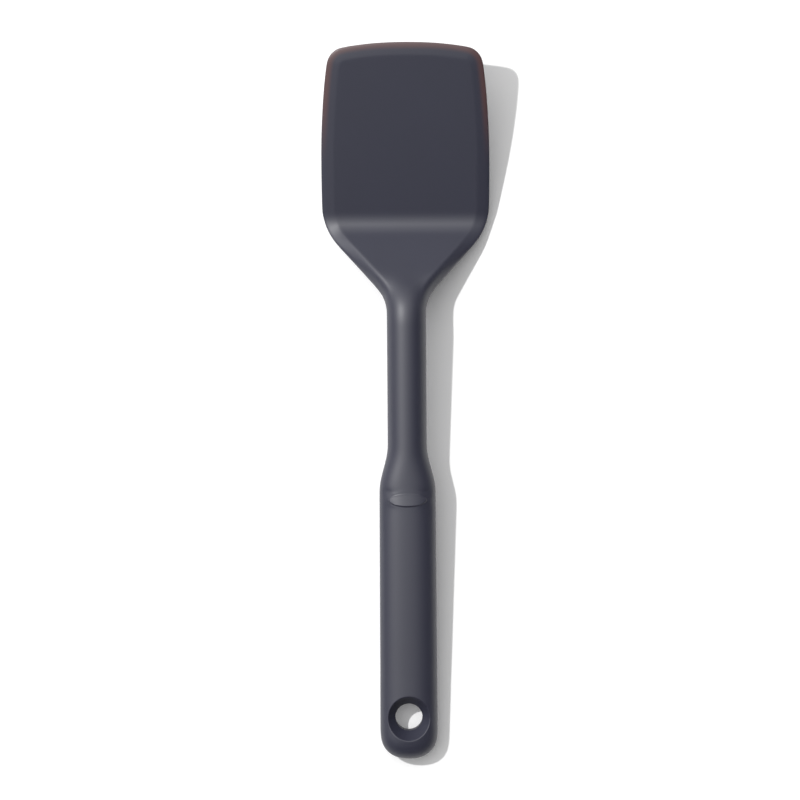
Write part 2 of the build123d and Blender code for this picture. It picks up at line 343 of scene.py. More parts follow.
@dataclass(frozen=True)
class Blade:
    """Sizes of the shoulder and the blade.

    The panel falls over a bevel to a thin lip, its corners are rounded and its tip is bowed. Up the
    shoulder the bevel narrows and the lip thickens, until both run out in the round neck.
    """

    half_width: float = 39.0
    tip_half_width: float = 34.6
    tip_taper: float = 34.5
    side_radius: float = 346.0
    corner_before_heel: float = 1.5
    heel_corner_radius: float = 36.0
    # The heights and the bevels are each given for the top face and for the under one
    heel_heights: tuple[float, float] = (3.0, 3.7)
    tip_heights: tuple[float, float] = (2.2, 1.5)
    bevels: tuple[float, float] = (5.8, 7.0)
    widest_bevel_share: float = 0.38
    # The middle of the lip above the centre line, at the heel and at the tip
    lip_rises: tuple[float, float] = (1.65, 1.05)
    lip_half_thickness: float = 0.5
    neck_lip_half_thickness: float = 2.8
    lip_inset: float = 0.35
    neck_lip_inset: float = 1.4
    lip_swell: float = 0.1
    # Lines this far to both sides of the crease keep it crisp on the blade and soft by the neck
    crease_support: float = 1.2
    soft_crease_support: float = 2.3
    neck_bevel_share: float = 0.7
    corner_radius: float = 9.3
    least_corner_radius: float = 2.8
    tip_bow: float = 4.0
    tip_power: float = 2.8


@dataclass(frozen=True)
class Handle:
    """Sizes of the handle and the neck."""

    half_width: float = 13.3
    front_half_width: float = 12.95
    neck_half_width: float = 9.0
    half_thickness: float = 8.2
    neck_half_thickness: float = 8.0
    front_place: float = 128.4
    front_radius: float = 33.0
    neck_place: float = 143.0
    neck_radius: float = 31.0
    neck_end_past_bend: float = 4.1
    neck_end_radius: float = 19.0
    # Past the middle of the neck's bend, where the oval starts and ends turning into the blade's section
    slab_blend: tuple[float, float] = (-2.0, 16.0)
    end_rounding: float = 12.5
    roundness: float = 2.3
    neck_roundness: float = 2.05


@dataclass(frozen=True)
class Hole:
    """Sizes of the hanging hole: a straight land between two flared mouths."""

    radius: float = 6.3
    land_half_length: float = 2.5
    mouth_half_width: float = 9.75
    mouth_half_length: float = 10.4
    edge_support: float = 0.45
    front_ray_step: float = 6.5
    side_rays: int = 7
    end_rays: int = 6
    loops_to_outline: int = 5


@dataclass(frozen=True)
class Pad:
    """Sizes of the bare oval pad raised on the handle."""

    place: float = 121.6
    half_width: float = 9.1
    half_length: float = 3.1
    height: float = 0.6
    front_height: float = 0.06
    columns: int = 5
    region_half_length: float = 5.0
    # The ring of faces outside the foot, how far the wall leans, and the lines that keep its edges crisp
    approach: float = 1.2
    wall_spread: float = 0.3
    support: float = 0.35
    # Each ring of faces is made this narrow, and its vertices are then laid on an oval
    first_inset: float = 0.001


class SkinShape:
    """The skin's form: half widths, thicknesses and sections at each place along the centre line."""

    quarter_columns = 8

    def __init__(self, line: CentreLine, handle: Handle, blade: Blade) -> None:
        """Lays out the outline and the thickness along the line.

        Args:
            line: The turner's centre line.
            handle: Sizes of the handle and the neck.
            blade: Sizes of the shoulder and the blade.
        """
        self.line, self.handle, self.blade = line, handle, blade
        self.neck_middle = sum(line.neck_bend) / 2
        self.heel_middle = sum(line.heel_bend) / 2
        self.half_width = RoundedLine(
            [
                (0.0, handle.half_width),
                (handle.front_place, handle.front_half_width),
                (handle.neck_place, handle.neck_half_width),
                (self.neck_middle + handle.neck_end_past_bend, handle.neck_half_width),
                (self.heel_middle - blade.corner_before_heel, blade.half_width),
                (line.length - blade.tip_taper, blade.half_width),
                (line.length, blade.tip_half_width),
            ],
            [
                handle.front_radius,
                handle.neck_radius,
                handle.neck_end_radius,
                blade.heel_corner_radius,
                blade.side_radius,
            ],
        )
        self.height = {side: self.thickness(side) for side in Side}
        self.lip_rise = RoundedLine(
            [
                (0.0, 0.0),
                (self.neck_middle, 0.0),
                (self.heel_middle, blade.lip_rises[0]),
                (line.length, blade.lip_rises[1]),
            ],
            [line.neck_radius, line.heel_radius],
        )
        self.bevel = dict(zip(Side, blade.bevels))

    def thickness(self, side: Side) -> RoundedLine:
        """Lays out the height of one face above or below the centre line.

        Args:
            side: Face of the skin.

        Returns:
            The height, from the handle's end to the tip.
        """
        handle, blade = self.handle, self.blade
        corners = [
            (0.0, handle.half_thickness),
            (handle.front_place, handle.half_thickness),
            (handle.neck_place, handle.neck_half_thickness),
            (self.neck_middle, handle.neck_half_thickness),
            (self.heel_middle, dict(zip(Side, blade.heel_heights))[side]),
            (self.line.length, dict(zip(Side, blade.tip_heights))[side]),
        ]
        radii = [handle.front_radius, handle.neck_radius, self.line.neck_radius, self.line.heel_radius]
        return RoundedLine(corners, radii)

    @property
    def swell(self) -> float:
        """How much larger than the round form the cage is, because subdividing draws it in."""
        # Subdividing moves a corner to the mean of its two neighbours and four times itself
        return 6 / (4 + 2 * math.cos(math.pi / 2 / self.quarter_columns))

    def fullness(self, x: float, place: float) -> float:
        """Works out how near a spot on the handle is to its outline.

        Args:
            x: Distance from the middle.
            place: Length along the line.

        Returns:
            Zero on the crown, rising to one on the outline.
        """
        handle = self.handle
        lead = max(1 - place / handle.end_rounding, 0.0) / self.swell
        width = abs(x) / self.swell / self.half_width.at(place)
        return min((width**handle.roundness + lead**handle.roundness) ** (1 / handle.roundness), 1.0)

    def handle_height(self, x: float, place: float) -> float:
        """Works out the height of the handle's cage above the centre line.

        Args:
            x: Distance from the middle.
            place: Length along the line.

        Returns:
            The height at that spot.
        """
        power = self.handle.roundness
        share = (1 - self.fullness(x, place) ** power) ** (1 / power)
        return self.swell * self.height[Side.TOP].at(place) * share

    def oval_half(self, place: float) -> list[tuple[float, float]]:
        """Lays out half of the oval section, from the crown down the right side to the keel.

        Args:
            place: Length along the line.

        Returns:
            Distance from the middle and height of each spot.
        """
        handle = self.handle
        share = eased(place, handle.front_place, handle.neck_place)
        power = 2 / between(handle.roundness, handle.neck_roundness, share)
        spots = []
        for column in range(2 * self.quarter_columns + 1):
            angle = math.pi / 2 * (1 - column / self.quarter_columns)
            side = Side.TOP if column <= self.quarter_columns else Side.UNDER
            x = self.half_width.at(place) * abs(math.cos(angle)) ** power
            z = side.value * self.height[side].at(place) * abs(math.sin(angle)) ** power
            spots.append((x * self.swell, z * self.swell))
        return spots

    def edge_profile(self, place: float) -> list[tuple[float, float]]:
        """Lays out the lines along the blade's edge, from the top panel round the lip to the under one.

        Args:
            place: Length along the line.

        Returns:
            Inset from the outline and height of each line.
        """
        blade, rise = self.blade, self.lip_rise.at(place)
        soft = 1 - eased(place, self.line.neck_bend[1], self.line.heel_bend[0])
        support = between(blade.crease_support, blade.soft_crease_support, soft)
        narrowing = between(1.0, blade.neck_bevel_share, soft)
        half_lip = between(blade.lip_half_thickness, blade.neck_lip_half_thickness, soft)
        lip_inset = between(blade.lip_inset, blade.neck_lip_inset, soft)
        profile = []
        for side in Side:
            bevel = self.bevel[side] * narrowing
            shrink = min(blade.widest_bevel_share * self.half_width.at(place) / bevel, 1.0)
            height = side.value * self.height[side].at(place)
            lip = rise + side.value * half_lip
            fall = (height - lip) * support / bevel
            lines = [
                (shrink * (bevel + support), height),
                (shrink * bevel, height),
                (shrink * (bevel - support), height - fall),
                (shrink * lip_inset, lip),
            ]
            if side is Side.TOP:
                profile = [*lines, (-blade.lip_swell, rise)]
            else:
                profile += reversed(lines)
        return profile

    def slab_half(self, place: float) -> list[tuple[float, float]]:
        """Lays out half of the blade's section, in as many spots as the oval.

        Args:
            place: Length along the line.

        Returns:
            Distance from the middle and height of each spot.
        """
        edge = [(self.half_width.at(place) - inset, z) for inset, z in self.edge_profile(place)]
        inner = self.quarter_columns // 2
        top = [(edge[0][0] * column / inner, edge[0][1]) for column in range(inner)]
        under = [(edge[-1][0] * column / inner, edge[-1][1]) for column in reversed(range(inner))]
        return [*top, *edge, *under]

    def ring(self, place: float) -> list[Spot]:
        """Lays out the whole section, from the crown down the right side and up the left.

        Args:
            place: Length along the line.

        Returns:
            Spots of the section.
        """
        start, end = self.handle.slab_blend
        share = eased(place, self.neck_middle + start, self.neck_middle + end)
        half = [
            (between(a[0], b[0], share), between(a[1], b[1], share))
            for a, b in zip(self.oval_half(place), self.slab_half(place))
        ]
        right = [(x, place, z) for x, z in half]
        return right + [(-x, place, z) for x, _, z in reversed(right[1:-1])]


class HolePatch:
    """The end of the handle as loops round the hanging hole, out to the outline and the first full ring."""

    def __init__(self, shape: SkinShape, hole: Hole, first_ring: float) -> None:
        """Lays one ray from the hole to each spot of the patch's border.

        Args:
            shape: The skin's form.
            hole: Sizes of the hole.
            first_ring: Place of the handle's first full ring.
        """
        self.shape, self.hole = shape, hole
        self.centre = shape.line.hole_place
        columns = shape.quarter_columns
        right = [(x, place) for x, place, _ in shape.ring(first_ring)[: columns + 1]]
        right += self.outline(first_ring)
        self.border = right + [(-x, place) for x, place in reversed(right[1:-1])]
        step = hole.front_ray_step
        front = [column * step for column in range(columns + 1)]
        rest = hole.side_rays + hole.end_rays
        back = [between(front[-1], 180, (ray + 1) / rest) for ray in range(rest)]
        angles = [*front, *back]
        self.angles = [math.radians(angle) for angle in [*angles, *[-a for a in reversed(angles[1:-1])]]]

    def outline(self, first_ring: float) -> list[tuple[float, float]]:
        """Lays out the right side of the outline, from the first ring to the middle of the end.

        Args:
            first_ring: Place of the handle's first full ring.

        Returns:
            Distance from the middle and place of each spot.
        """
        hole, handle, swell = self.hole, self.shape.handle, self.shape.swell
        rounding, power = handle.end_rounding, 2 / handle.roundness
        spots = []
        for ray in range(1, hole.side_rays + 1):
            place = between(first_ring, rounding, ray / hole.side_rays)
            spots.append((swell * self.shape.half_width.at(place), place))
        for ray in range(1, hole.end_rays + 1):
            angle = math.pi / 2 * ray / hole.end_rays
            along = rounding * (1 - swell * math.sin(angle) ** power)
            width = swell * self.shape.half_width.at(along) * max(math.cos(angle), 0.0) ** power
            spots.append((width, along))
        return spots

    def surface(self, x: float, place: float) -> Spot:
        """The spot on the handle's surface above a point of its plan."""
        return (x, place, self.shape.handle_height(x, place))

    def mouth(self, angle: float) -> Spot:
        """The spot on the edge of the hole's flared mouth at an angle."""
        x = self.hole.mouth_half_width * math.sin(angle)
        return self.surface(x, self.centre + self.hole.mouth_half_length * math.cos(angle))

    def wall(self, angle: float, height: float) -> Spot:
        """The spot on the hole's straight wall at an angle and a height."""
        radius = self.hole.radius
        return (radius * math.sin(angle), self.centre + radius * math.cos(angle), height)

    def spread_shares(self, start: Spot, end: Spot) -> list[float]:
        """Shares out the way to the border so that the loops turn evenly over the handle's round side.

        Args:
            start: Spot on the hole's mouth.
            end: Spot on the border.

        Returns:
            Share of the way for each loop.
        """
        power = self.shape.handle.roundness
        full_a, full_b = (self.shape.fullness(x, place) for x, place, _ in (start, end))
        turn_a, turn_b = (math.acos(full ** (power / 2)) for full in (full_a, full_b))
        count = self.hole.loops_to_outline
        shares = [step / count for step in range(1, count + 1)]
        if abs(full_b - full_a) < self.hole.edge_support / self.shape.handle.half_width:
            return shares
        turns = [between(turn_a, turn_b, share) for share in shares]
        return [(math.cos(turn) ** (2 / power) - full_a) / (full_b - full_a) for turn in turns]

    def loops(self, side: Side) -> list[list[Spot]]:
        """All loops on one face, from the middle of the hole's wall to the border.

        Args:
            side: Face of the handle.

        Returns:
            Spots of each loop, one for each ray.
        """
        hole = self.hole
        rays = []
        for angle, (x, place) in zip(self.angles, self.border):
            edge = self.wall(angle, hole.land_half_length)
            mouth, border = self.mouth(angle), self.surface(x, place)
            mouth_run = math.dist(edge, mouth)
            border_run = math.dist(mouth[:2], border[:2])
            ray = [self.wall(angle, hole.land_half_length - hole.edge_support), edge]
            ray.append(spot_between(edge, mouth, hole.edge_support / mouth_run))
            ray.append(spot_between(edge, mouth, 1 - hole.edge_support / mouth_run))
            ray.append(mouth)
            for share in [hole.edge_support / border_run, *self.spread_shares(mouth, border)]:
                ray.append(self.surface(*spot_between(mouth, border, share)[:2]))
            rays.append([(x, place, side.value * z) for x, place, z in ray])
        return [list(loop) for loop in zip(*rays)]


@dataclass(frozen=True)
class RimStop:
    """One stop along the blade's edge, with the way that points outwards there."""

    x: float
    place: float
    angle: float
    radius: float = 0.0
    least_radius: float = 0.0

    def inset(self, depth: float) -> tuple[float, float]:
        """Finds the point a depth inside the edge; on a corner the inner lines keep their least radius.

        Args:
            depth: Distance from the edge.

        Returns:
            Distance from the middle, and place.
        """
        cosine, sine = math.cos(self.angle), math.sin(self.angle)
        x, place = self.x - depth * cosine, self.place - depth * sine
        short = max(self.least_radius - max(self.radius - depth, 0.0), 0.0) if self.radius else 0.0
        return (x - short * (1 - cosine), place - short * (1 - sine))


class BladeRim:
    """The blade's edge in its own plane: the right side, the corner, and the tip as far as its middle."""

    side_stops = 2
    corner_stops = 4
    tip_stops = 2
    centre_rounds = 12

    def __init__(self, shape: SkinShape, start: float) -> None:
        """Finds the corner's centre, where it touches both the side and the bowed tip.

        Args:
            shape: The skin's form.
            start: Place of the blade's last full ring.
        """
        self.shape, self.start = shape, start
        radius = shape.blade.corner_radius
        self.centre_x = shape.blade.tip_half_width - radius
        self.centre_place = shape.line.length - radius
        self.side_angle, self.tip_angle = 0.0, math.pi / 2
        for _ in range(self.centre_rounds):
            touch = self.centre_place + radius * math.sin(self.side_angle)
            self.side_angle = -math.atan(shape.half_width.slope(touch))
            self.centre_x = shape.half_width.at(touch) - radius * math.cos(self.side_angle)
            self.tip_angle = math.pi / 2 - math.atan(self.tip_slope(self.tip_x))
            self.centre_place = self.tip_place(self.tip_x) - radius * math.sin(self.tip_angle)

    @property
    def tip_x(self) -> float:
        """Distance from the middle at which the corner meets the tip."""
        return self.centre_x + self.shape.blade.corner_radius * math.cos(self.tip_angle)

    def tip_place(self, x: float) -> float:
        """Place of the tip's bowed edge at a distance from the middle."""
        blade = self.shape.blade
        return self.shape.line.length - blade.tip_bow * (abs(x) / blade.tip_half_width) ** blade.tip_power

    def tip_slope(self, x: float) -> float:
        """Works out how steeply the tip's edge falls away.

        Args:
            x: Distance from the middle.

        Returns:
            The fall for each millimetre outwards.
        """
        blade = self.shape.blade
        share = x / blade.tip_half_width
        return blade.tip_power * blade.tip_bow * share ** (blade.tip_power - 1) / blade.tip_half_width

    def stops(self) -> list[RimStop]:
        """Lays out the stops past the last ring, up to the middle of the tip.

        Returns:
            The stops, in order.
        """
        blade, half_width = self.shape.blade, self.shape.half_width
        radius = blade.corner_radius
        touch = self.centre_place + radius * math.sin(self.side_angle)
        found = []
        for stop in range(1, self.side_stops + 1):
            share = stop / (self.side_stops + 1)
            place = between(self.start, touch, share)
            found.append(RimStop(half_width.at(place), place, -share * math.atan(half_width.slope(place))))
        for stop in range(self.corner_stops + 1):
            angle = between(self.side_angle, self.tip_angle, stop / self.corner_stops)
            x = self.centre_x + radius * math.cos(angle)
            place = self.centre_place + radius * math.sin(angle)
            found.append(RimStop(x, place, angle, radius, blade.least_corner_radius))
        for stop in reversed(range(self.tip_stops)):
            x = self.tip_x * stop / self.tip_stops
            found.append(RimStop(x, self.tip_place(x), math.pi / 2 - math.atan(self.tip_slope(x))))
        return found

    def profile(self, stop: RimStop) -> list[Spot]:
        """Lays out the edge's profile, from the top panel round the lip to the under one.

        Args:
            stop: Where on the edge.

        Returns:
            Spots of the profile.
        """
        spots = []
        for line, (depth, _) in enumerate(self.shape.edge_profile(stop.place)):
            x, place = stop.inset(depth)
            spots.append((x, place, self.shape.edge_profile(place)[line][1]))
        return spots

    def depth(self, x: float, place: float) -> float:
        """Works out how far inside the blade's edge a point lies.

        Args:
            x: Distance from the middle.
            place: Length along the line.

        Returns:
            Distance from the edge.
        """
        corner_x, corner_place = abs(x) - self.centre_x, place - self.centre_place
        if corner_x > 0 and corner_place > 0:
            return self.shape.blade.corner_radius - math.hypot(corner_x, corner_place)
        return min(self.shape.half_width.at(place) - abs(x), self.tip_place(x) - place)


class Cage:
    """A mesh in edit mode that grows by extruding chains of its own vertices, known by their spots."""

    same_spot = 0.02

    def __init__(self, name: str, rest: Rest, loop: Loop, radius: float) -> None:
        """Starts the mesh as a circle and lays its vertices on the first loop.

        Args:
            name: Name of the object.
            rest: Carries spots into the frame.
            loop: Spots of the first loop.
            radius: Radius of the circle.
        """
        self.rest = rest
        bpy.ops.object.select_all(action="DESELECT")
        bpy.ops.mesh.primitive_circle_add(vertices=len(loop), radius=radius * MM)
        self.object = bpy.context.active_object
        self.object.name = self.object.data.name = name
        bpy.ops.object.mode_set(mode="EDIT")
        bpy.ops.mesh.select_mode(type="VERT")
        for vertex, spot in zip(self.mesh().verts, loop):
            vertex.co = rest.to_frame(spot)
        bmesh.update_edit_mesh(self.object.data)

    def mesh(self) -> bmesh.types.BMesh:
        """The mesh being edited."""
        return bmesh.from_edit_mesh(self.object.data)

    def nearest(self, spots: Loop, among: list[bmesh.types.BMVert]) -> list[bmesh.types.BMVert]:
        """Finds the vertex nearest to each spot."""
        points = [self.rest.to_frame(spot) for spot in spots]
        return [min(among, key=lambda vertex, at=point: (vertex.co - at).length_squared) for point in points]

    def select(self, spots: Loop, on_border: bool = True) -> None:
        """Selects the vertices at spots, and the edges and faces between them.

        Args:
            spots: Where the vertices are.
            on_border: Whether only vertices on an open border are meant.
        """
        bpy.ops.mesh.select_all(action="DESELECT")
        mesh = self.mesh()
        among = [v for v in mesh.verts if v.is_boundary or v.is_wire or not on_border]
        for vertex in self.nearest(spots, among):
            vertex.select = True
        mesh.select_flush(True)
        bmesh.update_edit_mesh(self.object.data)

    def extrude(self, chain: Loop, spots: Loop) -> Loop:
        """Extrudes a chain of border edges and moves the new chain to its spots.

        Args:
            chain: Spots of the chain's vertices, in order.
            spots: Where the new vertices go, in the same order.

        Returns:
            The spots of the new chain.
        """
        self.select(chain)
        bpy.ops.mesh.extrude_region_move()
        grown = self.nearest(chain, [v for v in self.mesh().verts if v.select])
        for vertex, spot in zip(grown, spots):
            vertex.co = self.rest.to_frame(spot)
        bmesh.update_edit_mesh(self.object.data)
        return spots

    def move_selected(self, place: float, shift: Callable[[Spot], Spot]) -> None:
        """Moves each selected vertex beside one straight stretch of the line.

        Args:
            place: Any place on the straight stretch.
            shift: Turns a vertex's spot into its new spot.
        """
        for vertex in self.mesh().verts:
            if vertex.select:
                vertex.co = self.rest.to_frame(shift(self.rest.from_frame(vertex.co, place)))
        bmesh.update_edit_mesh(self.object.data)

    def merge(self) -> None:
        """Joins vertices that lie on each other."""
        bpy.ops.mesh.select_all(action="SELECT")
        bpy.ops.mesh.remove_doubles(threshold=self.same_spot * MM)

    def fill_between(self, near: Loop, far: Loop) -> None:
        """Fills the opening between two chains with a grid that follows its other two sides."""
        self.select([*near, *far])
        bpy.ops.mesh.fill_grid(use_interp_simple=True)

    def finish(self, levels: int) -> bpy.types.Object:
        """Turns all faces outwards, leaves edit mode and applies the subdivision.

        Args:
            levels: How many times the cage is subdivided.

        Returns:
            The finished object.
        """
        self.merge()
        bpy.ops.mesh.normals_make_consistent(inside=False)
        bpy.ops.object.mode_set(mode="OBJECT")
        smooth = self.object.modifiers.new("smooth", "SUBSURF")
        smooth.levels = levels
        smooth.render_levels = levels
        bpy.ops.object.modifier_apply(modifier=smooth.name)
        bpy.ops.object.shade_smooth()
        return self.object


@dataclass
class Skin:
    """The one-piece silicone skin, from the hanging hole to the lip of the blade."""

    line: CentreLine
    handle: Handle
    blade: Blade
    hole: Hole
    pad: Pad
    first_ring: float = 40.0
    last_ring: float = 316.0
    flare_reach: float = 6.0
    bend_reach: float = 2.0
    # Rings in each stretch of ring_places
    ring_steps: tuple[int, ...] = (3, 4, 9, 4, 19, 8, 4)
    ring_slack: float = 0.001
    levels: int = 2
    # The painted glow of light through the lip fades between the two depths inside the edge, and comes in
    # between the two places, towards the raised tip
    painted_glow_depths: tuple[float, float] = (1.4, 3.7)
    painted_glow_places: tuple[float, float] = (280.0, 318.0)

    def __post_init__(self) -> None:
        """Works out the form and where it lies."""
        self.rest = Rest(self.line)
        self.shape = SkinShape(self.line, self.handle, self.blade)
        self.rim = BladeRim(self.shape, self.last_ring)

    def ring_places(self) -> list[float]:
        """Spaces out the rings past the first one, closer together on the pad, the flare and the bends.

        Returns:
            Place of each ring.
        """
        pad, line = self.pad, self.line
        bounds = [
            self.first_ring,
            pad.place - pad.region_half_length,
            pad.place + pad.region_half_length,
            self.handle.neck_place + self.flare_reach,
            line.neck_bend[0] - self.flare_reach,
            line.heel_bend[0] - self.bend_reach,
            line.heel_bend[1] + self.bend_reach,
            self.last_ring,
        ]
        places = []
        for start, end, steps in zip(bounds, bounds[1:], self.ring_steps):
            places += [between(start, end, step / steps) for step in range(1, steps + 1)]
        return places

    def grow_hole(self) -> Cage:
        """Grows both faces of the handle's end out of the hole's wall.

        Returns:
            The cage, open at the first ring.
        """
        patch = HolePatch(self.shape, self.hole, self.first_ring)
        middle = [patch.wall(angle, 0.0) for angle in patch.angles]
        cage = Cage("silicone_skin_moulded", self.rest, middle, self.hole.radius)
        for side in Side:
            chain = middle
            for loop in patch.loops(side):
                chain = cage.extrude(chain, loop)
        cage.merge()
        return cage

    def grow_rings(self, cage: Cage) -> Loop:
        """Grows the handle, neck, shoulder and blade ring by ring.

        Args:
            cage: The skin so far.

        Returns:
            The last ring.
        """
        chain = self.shape.ring(self.first_ring)
        for place in self.ring_places():
            chain = cage.extrude(chain, self.shape.ring(place))
        return chain

    def grow_rim(self, cage: Cage, ring: Loop) -> None:
        """Grows the blade's edge round the tip and fills the panels between its two sides.

        Args:
            cage: The skin so far.
            ring: The last ring.
        """
        middle = self.shape.quarter_columns
        inner = middle // 2
        columns = range(inner, middle + inner + 1)
        right = [self.rim.profile(stop) for stop in self.rim.stops()]
        left = [[(-x, place, z) for x, place, z in spots] for spots in reversed(right[:-1])]
        stops = [*right, *left, [ring[-column] for column in columns]]
        chain = [ring[column] for column in columns]
        for spots in stops:
            chain = cage.extrude(chain, spots)
        cage.merge()
        corner = self.rim.side_stops + self.rim.corner_stops // 2
        # The top panel lies round the crown's column, and the under one round the keel's
        for centre, line in ((0, 0), (2 * middle, -1)):
            near = [ring[centre + column] for column in range(-inner, inner + 1)]
            far = [spots[line] for spots in stops[corner : len(stops) - 1 - corner]]
            cage.fill_between(near, far)

    def raise_pad(self, cage: Cage) -> None:
        """Insets an oval into the handle's crown and raises it as a low, crisp pad.

        Args:
            cage: The skin so far.
        """
        pad = self.pad
        reach = pad.region_half_length + self.ring_slack
        places = [place for place in self.ring_places() if abs(place - pad.place) <= reach]
        rings = [self.shape.ring(place) for place in places]
        across = range(-pad.columns, pad.columns + 1)
        half_region = (rings[0][pad.columns][0], pad.region_half_length)
        cage.select([ring[column] for ring in rings for column in across], on_border=False)

        def rounded(spot: Spot) -> tuple[float, float]:
            """Carries a spot of the square region into a round one of radius one."""
            u, v = spot[0] / half_region[0], (spot[1] - pad.place) / half_region[1]
            return (u * math.sqrt(max(1 - v * v / 2, 0.0)), v * math.sqrt(max(1 - u * u / 2, 0.0)))

        foot = [(pad.approach, 0.0), (pad.support, 0.0), (0.0, 0.0)]
        top = [(-pad.wall_spread, 1.0), (-pad.wall_spread - pad.support, 1.0)]
        before = None
        for spread, lift in [*foot, *top]:
            bpy.ops.mesh.inset(thickness=pad.first_inset * MM, use_even_offset=False)
            size = (pad.half_width + spread, pad.half_length + spread)

            def shift(spot: Spot) -> Spot:
                """Lays one vertex on the oval of this step.

                Args:
                    spot: Where the vertex is.

                Returns:
                    Where it goes.
                """
                if before is None:
                    u, v = rounded(spot)
                else:
                    u, v = spot[0] / before[0], (spot[1] - pad.place) / before[1]
                x, place = u * size[0], pad.place + v * size[1]
                rise = between(pad.height, pad.front_height, (1 + v) / 2)
                return (x, place, self.shape.handle_height(x, place) + lift * rise)

            cage.move_selected(0.0, shift)
            before = size

    def paint_light_through_lip(self, body: bpy.types.Object) -> None:
        """Writes how strongly the light through the thin lip is painted at each point, as an attribute that
        the silicone reads.

        Args:
            body: The finished skin.
        """
        glow = body.data.attributes.new("painted_lip_glow", "FLOAT", "POINT")
        for vertex, value in zip(body.data.vertices, glow.data):
            x, place, _ = self.rest.from_frame(vertex.co, self.line.heel_bend[1])
            inside = eased(self.rim.depth(x, place), *self.painted_glow_depths)
            # Painted glow: strongest at the edge and towards the raised tip, where the floor under the lip is
            # lit
            value.value = eased(place, *self.painted_glow_places) * (1 - inside)

    def build(self) -> bpy.types.Object:
        """Builds the skin, puts it under the root body and hides the CAD skin that it stands for.

        Returns:
            The finished skin.
        """
        cage = self.grow_hole()
        ring = self.grow_rings(cage)
        self.grow_rim(cage, ring)
        self.raise_pad(cage)
        body = cage.finish(self.levels)
        self.paint_light_through_lip(body)
        body.data.materials.append(MouldedSilicone().material())
        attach(body, "root")
        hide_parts("silicone_skin")
        return body


@dataclass(frozen=True)
class MouldedSilicone:
    """Silicone moulded in a finely blasted tool: matt, blue grey, with a painted red-brown glow in thin
    edges.
    """

    body: str = "2d2e3e"
    shade: str = "282938"
    # The red-brown of light passing through the thin lip, painted into the base colour
    lip: str = "4e3537"
    roughness: float = 0.49
    roughness_spread: float = 0.02
    ior: float = 1.45
    specular: float = 0.95
    cloud_mm: float = 34.0
    cloud_detail: float = 3.0
    grain_mm: float = 0.7
    grain_detail: float = 2.0
    grain_height_mm: float = 0.012

    def material(self) -> bpy.types.Material:
        """Builds the material, with its painted glow of light through the lip where the skin's attribute
        says.

        Returns:
            The material.
        """
        made, shader, where = start_material("moulded_silicone")
        tree = made.node_tree
        clouds = add_node(
            tree,
            "ShaderNodeTexNoise",
            {"Vector": where, "Scale": MM_PER_METRE / self.cloud_mm, "Detail": self.cloud_detail},
        )
        # The pigment is not quite even, which gives broad, barely visible clouds
        pigment = add_node(
            tree,
            "ShaderNodeMix",
            {"Factor": clouds.outputs["Fac"], "A": linear(self.body), "B": linear(self.shade)},
            data_type="RGBA",
        )
        glow = add_node(tree, "ShaderNodeAttribute", attribute_name="painted_lip_glow").outputs["Fac"]
        # Painted glow: light passing through the thin lip, painted into the base colour as red-brown
        colour = add_node(
            tree,
            "ShaderNodeMix",
            {"Factor": glow, "A": pigment.outputs["Result"], "B": linear(self.lip)},
            data_type="RGBA",
        )
        polish = add_node(
            tree,
            "ShaderNodeMapRange",
            {
                "Value": clouds.outputs["Fac"],
                "To Min": self.roughness - self.roughness_spread,
                "To Max": self.roughness + self.roughness_spread,
            },
        )
        # The blasted tool's grain is finer than this and is drawn coarser so that it shows
        grain = add_node(
            tree,
            "ShaderNodeTexNoise",
            {"Vector": where, "Scale": MM_PER_METRE / self.grain_mm, "Detail": self.grain_detail},
        )
        bump = add_node(
            tree,
            "ShaderNodeBump",
            {"Height": grain.outputs["Fac"], "Distance": self.grain_height_mm * MM, "Strength": 1.0},
        )
        looks = {
            "Base Color": colour.outputs["Result"],
            "Roughness": polish.outputs["Result"],
            "Normal": bump.outputs["Normal"],
            "IOR": self.ior,
            "Specular IOR Level": self.specular,
        }
        feed(tree, shader, looks)
        return made


@dataclass(frozen=True)
class Metal:
    """A worked metal: its colour, polish, and the fine lines or spangle that its making leaves."""

    name: str
    colour: str
    stain: str
    roughness: float
    mark_mm: float
    mark_length_mm: float
    mark_height_mm: float
    mark_detail: float = 4.0
    roughness_spread: tuple[float, float] = (0.8, 1.25)

    def material(self) -> bpy.types.Material:
        """Builds the material, with marks drawn out along the turner's length.

        Returns:
            The material.
        """
        made, shader, where = start_material(self.name)
        tree = made.node_tree
        drawn = add_node(
            tree,
            "ShaderNodeMapping",
            {"Vector": where, "Scale": (1.0, self.mark_mm / self.mark_length_mm, 1.0)},
        )
        marks = add_node(
            tree,
            "ShaderNodeTexNoise",
            {
                "Vector": drawn.outputs["Vector"],
                "Scale": MM_PER_METRE / self.mark_mm,
                "Detail": self.mark_detail,
            },
        )
        colour = add_node(
            tree,
            "ShaderNodeMix",
            {"Factor": marks.outputs["Fac"], "A": linear(self.colour), "B": linear(self.stain)},
            data_type="RGBA",
        )
        polish = add_node(
            tree,
            "ShaderNodeMapRange",
            {
                "Value": marks.outputs["Fac"],
                "To Min": self.roughness * self.roughness_spread[0],
                "To Max": self.roughness * self.roughness_spread[1],
            },
        )
        bump = add_node(
            tree,
            "ShaderNodeBump",
            {"Height": marks.outputs["Fac"], "Distance": self.mark_height_mm * MM, "Strength": 1.0},
        )
        looks = {
            "Base Color": colour.outputs["Result"],
            "Roughness": polish.outputs["Result"],
            "Normal": bump.outputs["Normal"],
            "Metallic": 1.0,
        }
        feed(tree, shader, looks)
        return made


